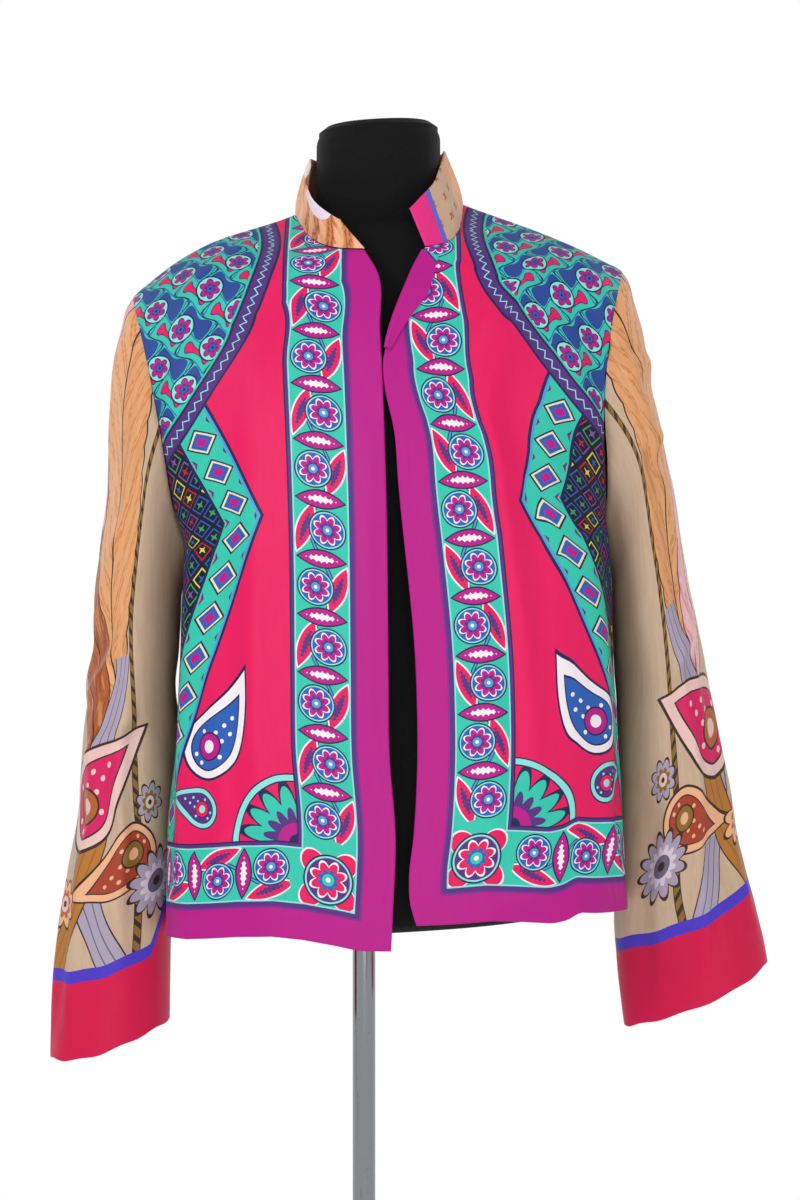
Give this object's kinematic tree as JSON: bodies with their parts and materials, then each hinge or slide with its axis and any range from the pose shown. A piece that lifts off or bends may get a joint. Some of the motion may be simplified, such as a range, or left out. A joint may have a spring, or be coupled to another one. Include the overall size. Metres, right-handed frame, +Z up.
{
  "type": "jacket on dress form",
  "caption": "Open-front long-sleeved silk jacket with a low stand collar, hanging on a limbless dress form with a pole and a round foot plate.",
  "frame": {"origin": "on the floor under the axis of the form's pole, at the middle of the foot plate's underside", "axes": "+Z up along the pole, +Y towards the back of the jacket, +X towards the wearer's left"},
  "size_m": [0.5983, 0.3, 1.3968],
  "materials": {
    "silk_print": "printed silk twill, soft sheen",
    "silk_sleeve": "printed silk twill, soft sheen",
    "black_jersey": "matt black stretch jersey",
    "chrome": "polished",
    "painted_steel": "satin black"
  },
  "bodies": {
    "root": {"front_right": "silk_print", "front_left": "silk_print", "back": "silk_print", "sleeve_right": "silk_sleeve", "sleeve_left": "silk_sleeve", "collar": "silk_sleeve", "facing_left": "silk_print", "dress_form": "black_jersey", "pole": "chrome", "base_plate": "painted_steel"}
  },
  "joints": []
}
